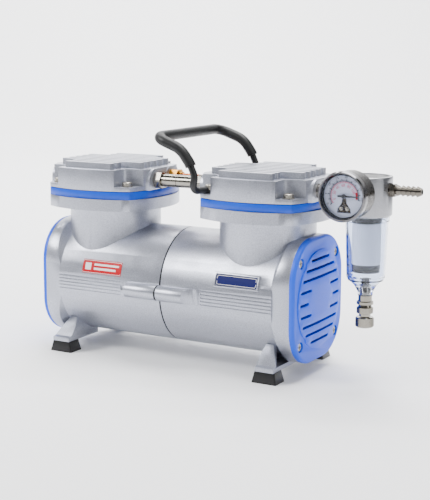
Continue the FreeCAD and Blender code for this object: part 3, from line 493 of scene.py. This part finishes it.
# flat ring sector in the gauge's plane
def inkArc(name, look, inner, outer, start, stop, steps=48, lift=0.0):
    verts, faces = [], []
    low, high = lift * mm, (lift + dialLook["ink"]) * mm
    for k in range(steps + 1):
        a = math.radians(start + (stop - start) * k / steps)
        for r in (inner * mm, outer * mm):
            verts += [(r * math.cos(a), r * math.sin(a), z) for z in (low, high)]
    for k in range(steps):
        a, b = 4 * k, 4 * k + 4
        faces += [(a + 1, a + 3, b + 3, b + 1), (a, b, b + 2, a + 2),
                  (a, a + 1, b + 1, b), (a + 2, b + 2, b + 3, a + 3)]
    faces += [(0, 2, 3, 1), (4 * steps, 4 * steps + 1, 4 * steps + 3, 4 * steps + 2)]
    mesh = meshFrom(name, verts, faces)
    mesh.transform(dialFace)
    finishPiece(name, mesh, look, "pump", 20.0)


# a row of plain figures round the gauge
def inkFigures(name, look, words, radius, size, start, stop):
    joined = bmesh.new()
    for k, word in enumerate(words):
        text = bpy.data.curves.new(name + str(k), "FONT")
        text.body = word
        text.size = size * mm
        text.align_x = "CENTER"
        text.align_y = "CENTER"
        text.extrude = dialLook["ink"] * 0.5 * mm
        text.resolution_u = 3
        carrier = bpy.data.objects.new(name + str(k), text)
        bpy.context.scene.collection.objects.link(carrier)
        depsgraph = bpy.context.evaluated_depsgraph_get()
        mesh = bpy.data.meshes.new_from_object(carrier.evaluated_get(depsgraph))
        bpy.data.objects.remove(carrier)
        angle = math.radians(start + (stop - start) * k / (len(words) - 1))
        mesh.transform(Matrix.Translation((radius * mm * math.cos(angle), radius * mm * math.sin(angle),
                                           dialLook["ink"] * 0.5 * mm))
                       @ Matrix.Rotation(angle - math.pi / 2, 4, "Z"))
        joined.from_mesh(mesh)
    bmesh.ops.remove_doubles(joined, verts=joined.verts, dist=1e-7)
    mesh = bpy.data.meshes.new(name)
    joined.to_mesh(mesh)
    joined.free()
    mesh.transform(dialFace)
    finishPiece(name, mesh, look, "pump", 20.0)


def makeDial():
    start, stop, line = dialLook["from"], dialLook["to"], dialLook["lineR"]
    face = dialFace @ Matrix.Translation((0, 0, dialLook["ink"] * 0.5 * mm))
    for name, look, part in (("dialOuterLine", "dialBlack", "outerLine"),
                             ("dialInnerLine", "dialPink", "innerLine")):
        inner, outer = dialLook[part]
        inkArc(name, look, line + inner, line + outer, stop, start)
    inner, outer = dialLook["redZone"]
    inkArc("dialRedZone", "dialRed", line + inner, line + outer, *dialLook["redAngles"], dialLook["redSteps"])
    for name, (look, count, offset, depth, width) in dialTicks.items():
        ridgeRow(name, look, "pump", face, count, line + offset, depth, width, dialLook["ink"],
                 start, stop - start)
    before, after = dialLook["outerTurn"]
    inkFigures("dialOuterFigures", "dialBlack", [str(5 * k) for k in range(8)], dialLook["outerFigureR"],
               dialLook["outerSize"], start + before, stop + after)
    before, after = dialLook["innerTurn"]
    inkFigures("dialInnerFigures", "dialPink", [str(20 * k) for k in range(6)], dialLook["innerFigureR"],
               dialLook["innerSize"], start + before, stop + after)
    # black ink rings painted as shade: the shadow gap round the dial's edge, and the shade under the bezel's
    # lip behind the glass
    steps = dialLook["ringSteps"]
    inkArc("dialEdgeShade", "dialBlack", dialLook["edgeShadeIn"], dialLook["edgeShadeOut"], 0, 360, steps)
    lensBack = (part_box("gauge_lens")[1][1] - dialLow[1]) / -mm
    inkArc("lensLipShade", "dialBlack", dialLook["lipShadeIn"], dialLook["lipShadeOut"], 0, 360, steps,
           lensBack - dialLook["lipShadeGap"])


makeDial()

# knurled bands on the drain tap and its collar, and the pleats of the filter element, in mm
knurlLook = {
    "knob": {"count": 42, "sunk": 0.05, "depth": 0.55, "width": 0.62, "short": 2.2},
    "collar": {"count": 36, "radius": 6.5, "depth": 0.5, "width": 0.6, "length": 3.6, "up": 11.5},
    "pleat": {"count": 40, "depth": 0.5, "width": 0.8, "short": 0.6},
}


def makeKnurls():
    knob, collar, pleat = knurlLook["knob"], knurlLook["collar"], knurlLook["pleat"]
    low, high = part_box("drain_knob")
    mid = middle("drain_knob")
    radius = (high[0] - low[0]) / 2 / mm
    ridgeRow("knobKnurl", "nickel", "drain_tap", Matrix.Translation(mid), knob["count"],
             radius - knob["sunk"], knob["depth"], knob["width"], (high[2] - low[2]) / mm - knob["short"])
    seat = (mid[0], mid[1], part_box("drain_valve")[0][2] + collar["up"] * mm)
    ridgeRow("collarKnurl", "nickel", "bowl", Matrix.Translation(seat), collar["count"],
             collar["radius"], collar["depth"], collar["width"], collar["length"])
    low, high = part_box("filter_element")
    radius = (high[0] - low[0]) / 2 / mm
    ridgeRow("elementPleats", "element", "pump",
             Matrix.Translation(middle("filter_element")), pleat["count"], radius, pleat["depth"],
             pleat["width"], (high[2] - low[2]) / mm - pleat["short"])


makeKnurls()
print("knurls and pleats done")

# turned hose tails, millimetres along their own axis (0 is X, 1 is Y) from the face they screw into
hoseTails = {
    "hose_barb": {"axis": 0, "hexWide": 10.0, "hexLong": 4.0, "neckR": 3.1, "peakR": 4.4, "valleyR": 2.7,
                  "barbs": 5, "boreR": 1.9, "spigotR": 4.0, "spigotLong": 8.0, "seatR": 5.5},
    "outlet_barb": {"axis": 1, "hexWide": 12.0, "hexLong": 5.0, "neckR": 2.8, "peakR": 3.85, "valleyR": 2.75,
                    "barbs": 3, "boreR": 2.0, "spigotR": 3.8, "spigotLong": 8.0, "seatR": 4.6},
}
tailShape = {"neckLong": 1.5, "seatBack": 1.0, "seatFront": 0.3, "lip": 0.2, "lipLong": 0.25, "fall": 0.98,
             "hexEdge": 0.35}


# turns a closed outline of (along, radius) points about the X axis
def turnedMesh(name, loop, steps=48):
    verts, faces = [], []
    for k in range(steps):
        a = 2 * math.pi * k / steps
        verts += [(x * mm, r * mm * math.cos(a), r * mm * math.sin(a)) for x, r in loop]
    count = len(loop)
    for k in range(steps):
        a, b = k * count, ((k + 1) % steps) * count
        faces += [(a + j, a + (j + 1) % count, b + (j + 1) % count, b + j) for j in range(count)]
    return meshFrom(name, verts, faces)


# domed screws of the gauge movement, turned about the gauge's own normal, in mm
movementLook = {"screws": ((-2.5, -10.0), (2.5, -10.0)), "screwR": 1.5, "tall": 0.9, "sunk": 0.2}


def makeMovementScrews():
    r, tall = movementLook["screwR"], movementLook["tall"]
    outline = [(-0.4, 0.02), (-0.4, r), (tall * 0.45, r), (tall * 0.8, r * 0.75), (tall, r * 0.3),
               (tall, 0.02)]
    joined = bmesh.new()
    for x, z in movementLook["screws"]:
        dome = turnedMesh("dome", outline, 24)
        dome.transform(Matrix.Translation((x * mm, z * mm, -movementLook["sunk"] * mm))
                       @ Matrix.Rotation(math.radians(-90), 4, "Y"))
        joined.from_mesh(dome)
    mesh = bpy.data.meshes.new("movementScrews")
    joined.to_mesh(mesh)
    joined.free()
    mesh.transform(dialFace)
    finishPiece("movementScrews", mesh, "zinc", "pump", 35.0)


makeMovementScrews()
print("gauge face done")


def makeHoseTail(node, size):
    low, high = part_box(node)
    axis = size["axis"]
    base = low[axis] + size["spigotLong"] * mm
    tip = (high[axis] - base) / mm
    first = size["hexLong"] + tailShape["neckLong"]
    step = (tip - first) / size["barbs"]
    back, front = -tailShape["seatBack"], tailShape["seatFront"]
    loop = [(-size["spigotLong"], size["boreR"]), (-size["spigotLong"], size["spigotR"]),
            (back, size["spigotR"]), (back, size["seatR"]), (front, size["seatR"]), (front, size["neckR"]),
            (first, size["neckR"])]
    for k in range(size["barbs"]):
        x = first + step * k
        loop += [(x, size["peakR"] - tailShape["lip"]), (x + tailShape["lipLong"], size["peakR"]),
                 (x + step * tailShape["fall"], size["valleyR"])]
    loop.append((tip, size["boreR"]))
    work = bmesh.new()
    work.from_mesh(turnedMesh(node, loop))
    corner = size["hexWide"] / math.sqrt(3) * mm
    upOnX = Matrix.Rotation(math.radians(90), 4, "Y")
    made = bmesh.ops.create_cone(work, cap_ends=True, segments=6, radius1=corner, radius2=corner,
                                 depth=size["hexLong"] * mm,
                                 matrix=Matrix.Translation((size["hexLong"] / 2 * mm, 0, 0)) @ upOnX)
    edges = list({e for v in made["verts"] for e in v.link_edges})
    bmesh.ops.bevel(work, geom=edges, offset=tailShape["hexEdge"] * mm, segments=2, affect="EDGES")
    mesh = bpy.data.meshes.new(node + "_turned")
    work.to_mesh(mesh)
    work.free()
    mid = middle(node)
    mid[axis] = base
    mesh.transform(Matrix.Translation(mid) @ Matrix.Rotation(math.radians(90 * axis), 4, "Z"))
    piece = finishPiece(node + "_turned", mesh, lookOf[node], bodyOf[node], 32.0)
    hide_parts(node)


for node, size in hoseTails.items():
    makeHoseTail(node, size)
print("hose tails done")

# printed plates that follow the round of the body
shaftMid = middle("shaft")
printThick = 0.06


# both plates sit above the shaft, so the low front corner of the box lies on the plate's own face
def plateRadius(name):
    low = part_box(name)[0]
    return math.hypot(low[1] - shaftMid[1], low[2] - shaftMid[2])


def wrapPoint(x, z, radius):
    return (x, -math.sqrt(radius ** 2 - (z - shaftMid[2]) ** 2), z)


# outline of a rounded rectangle, counter-clockwise
def roundedOutline(x0, x1, z0, z1, corner, steps=6):
    points = []
    for cx, cz, turn in ((x1 - corner, z1 - corner, 0), (x0 + corner, z1 - corner, 90),
                         (x0 + corner, z0 + corner, 180), (x1 - corner, z0 + corner, 270)):
        for k in range(steps + 1):
            a = math.radians(turn + 90 * k / steps)
            points.append((cx + corner * math.cos(a), cz + corner * math.sin(a)))
    return points


# a printed line along the edge of a plate: inset from the box, line width and corner in mm
def wrappedFrame(name, look, slot, node, insetMm, widthMm, cornerMm, radius):
    low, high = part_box(node)
    inset, width, corner = insetMm * mm, widthMm * mm, cornerMm * mm
    outer = roundedOutline(low[0] + inset, high[0] - inset, low[2] + inset, high[2] - inset, corner)
    shrink = inset + width
    inner = roundedOutline(low[0] + shrink, high[0] - shrink, low[2] + shrink, high[2] - shrink,
                           max(corner - width, 0.1 * mm))
    verts, faces = [], []
    count = len(outer)
    for (xa, za), (xb, zb) in zip(outer, inner):
        top = radius + printThick * mm
        for x, z, r in ((xa, za, radius), (xb, zb, radius), (xb, zb, top), (xa, za, top)):
            verts.append(wrapPoint(x, z, r))
    for k in range(count):
        a, b = 4 * k, 4 * ((k + 1) % count)
        faces += [(a + j, a + (j + 1) % 4, b + (j + 1) % 4, b + j) for j in range(4)]
    finishPiece(name, meshFrom(name, verts, faces), look, "pump", 30.0)


# a printed block between two x and two z
def wrappedBar(name, look, x0, x1, z0, z1, radius, steps=6):
    verts, faces = [], []
    for k in range(steps + 1):
        z = z0 + (z1 - z0) * k / steps
        top = radius + printThick * mm
        for x, r in ((x0, radius), (x1, radius), (x1, top), (x0, top)):
            verts.append(wrapPoint(x, z, r))
    for k in range(steps):
        a = 4 * k
        faces += [(a + j, a + (j + 1) % 4, a + 4 + (j + 1) % 4, a + 4 + j) for j in range(4)]
    faces += [(0, 1, 2, 3), (4 * steps, 4 * steps + 1, 4 * steps + 2, 4 * steps + 3)]
    finishPiece(name, meshFrom(name, verts, faces), look, "pump", 30.0)


# inset, line width and corner in mm; the blocks are left, right, bottom and top as shares of the label
borderLook = {"nameplate": (0.7, 0.35, 1.2), "label": (0.5, 0.3, 0.5)}
labelBars = {
    "upper": (0.30, 0.93, 0.60, 0.74),
    "lower": (0.30, 0.86, 0.28, 0.44),
    "patch": (0.07, 0.22, 0.25, 0.76),
}


def printPlates():
    wrappedFrame("nameplateBorder", "paleInk", "navy_print", "nameplate", *borderLook["nameplate"],
                 plateRadius("nameplate"))
    radius = plateRadius("label")
    wrappedFrame("labelBorder", "paleInk", "red_print", "label", *borderLook["label"], radius)
    low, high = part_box("label")
    wide, tall = high[0] - low[0], high[2] - low[2]
    for key, (x0, x1, z0, z1) in labelBars.items():
        wrappedBar("label" + key.capitalize(), "paleInk", low[0] + x0 * wide, low[0] + x1 * wide,
                   low[2] + z0 * tall, low[2] + z1 * tall, radius)


printPlates()
print("plate and label print done")

# black discs behind the slots of each end cover, painted shade seen through the slots, in mm; inset is
# measured inwards from the cover's box
slotShadeLook = {"radius": 46.5, "thick": 1.6, "inset": 5.6, "edge": 0.3, "sides": 72}


def makeSlotShade(name, seat):
    work = bmesh.new()
    bmesh.ops.create_cone(work, cap_ends=True, segments=slotShadeLook["sides"], radius1=slotShadeLook["radius"] * mm,
                          radius2=slotShadeLook["radius"] * mm, depth=slotShadeLook["thick"] * mm,
                          matrix=Matrix.Translation((seat, 0, shaftMid[2]))
                          @ Matrix.Rotation(math.radians(90), 4, "Y"))
    rim = [e for e in work.edges if len(e.link_faces) == 2 and e.calc_face_angle(0) > 1.0]
    bmesh.ops.bevel(work, geom=rim, offset=slotShadeLook["edge"] * mm, segments=2, affect="EDGES")
    mesh = bpy.data.meshes.new("slotShadeDisc")
    work.to_mesh(mesh)
    work.free()
    finishPiece(name, mesh, "slotShade", "pump", 35.0)


# painted shade behind the slots of the right and the left cover
makeSlotShade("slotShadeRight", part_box("end_cover_right")[0][0] - slotShadeLook["inset"] * mm)
makeSlotShade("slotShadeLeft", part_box("end_cover_left")[1][0] + slotShadeLook["inset"] * mm)
print("slot shade discs done")

# metres; turn is in degrees and faces the sweep to the camera
stageLook = {"paper": "#FAFAFB", "width": 7.0, "front": -2.6, "depth": 2.6, "height": 3.2, "curve": 0.8,
             "curveSteps": 12, "turn": 30.4, "below": 0.0001}


# a paper sweep: flat floor that curves up behind the object
def makeStage():
    depth, curve, steps = stageLook["depth"], stageLook["curve"], stageLook["curveSteps"]
    profile = [(stageLook["front"], 0.0), (depth - curve, 0.0)]
    for k in range(1, steps + 1):
        a = math.radians(90 * k / steps)
        profile.append((depth - curve + curve * math.sin(a), curve * (1 - math.cos(a))))
    profile.append((depth, stageLook["height"]))
    turn = Matrix.Rotation(math.radians(stageLook["turn"]), 3, "Z")
    verts, faces = [], []
    for y, z in profile:
        for x in (-stageLook["width"] / 2, stageLook["width"] / 2):
            p = turn @ Vector((x, y, z))
            verts.append((p.x, p.y, p.z - stageLook["below"]))
    for k in range(len(profile) - 1):
        faces.append((2 * k, 2 * k + 1, 2 * k + 3, 2 * k + 2))
    mesh = bpy.data.meshes.new("studioSweep")
    mesh.from_pydata(verts, [], faces)
    mesh.polygons.foreach_set("use_smooth", [True] * len(mesh.polygons))
    # matt coated paper: even and pale with no shine
    mesh.materials.append(newMaterial("paleSeamlessPaper", stageLook["paper"], 0.0, 0.85)[0])
    sweep = bpy.data.objects.new("studioSweep", mesh)
    bpy.context.scene.collection.objects.link(sweep)


def addLight(name, place, target, size, power):
    data = bpy.data.lights.new(name, "AREA")
    data.shape = "RECTANGLE"
    data.size, data.size_y = size
    data.energy = power
    lamp = bpy.data.objects.new(name, data)
    lamp.location = place
    lamp.rotation_euler = (Vector(target) - Vector(place)).to_track_quat("-Z", "Y").to_euler()
    bpy.context.scene.collection.objects.link(lamp)


# place, target and size in metres, then power in watts
lights = {
    "leftSoftbox": ((-1.2, -1.0, 1.15), (-0.05, 0.0, 0.1), (0.9, 0.7), 40),
    "topSoftbox": ((0.15, 0.15, 1.6), (0.0, 0.0, 0.05), (1.1, 0.8), 42),
    "rightStrip": ((1.5, -0.3, 0.75), (0.13, 0.0, 0.1), (0.4, 1.0), 7),
    "sweepGlow": ((-0.6, 0.9, 1.9), (-1.0, 2.2, 0.4), (2.4, 0.8), 150),
    "floorGlow": ((0.75, -1.3, 1.5), (0.35, -0.62, 0.0), (1.2, 0.6), 8),
}
makeStage()
for name, (place, target, size, power) in lights.items():
    addLight(name, place, target, size, power)
airLook = {"colour": "#F2F4F8", "strength": 0.18}
world = bpy.data.worlds.new("studioAir")
bpy.context.scene.world = world
world.use_nodes = True
air = world.node_tree.nodes["Background"]
air.inputs["Color"].default_value = toLinear(airLook["colour"])
air.inputs["Strength"].default_value = airLook["strength"]

# place in metres, angles in degrees, lens and sensor in mm
cameraSet = {"place": (0.53854, -0.91821, 0.28388), "azimuth": 30.403, "pitch": 9.179, "lens": 87.181,
             "sensor": 36.0, "shift": (0.0518, -0.0386)}
cameraData = bpy.data.cameras.new("productCamera")
cameraData.lens = cameraSet["lens"]
cameraData.sensor_width = cameraSet["sensor"]
cameraData.shift_x, cameraData.shift_y = cameraSet["shift"]
camera = bpy.data.objects.new("productCamera", cameraData)
camera.location = cameraSet["place"]
camera.rotation_euler = (math.radians(90 - cameraSet["pitch"]), 0.0, math.radians(cameraSet["azimuth"]))
bpy.context.scene.collection.objects.link(camera)
bpy.context.scene.camera = camera
print("stage, light and camera set")
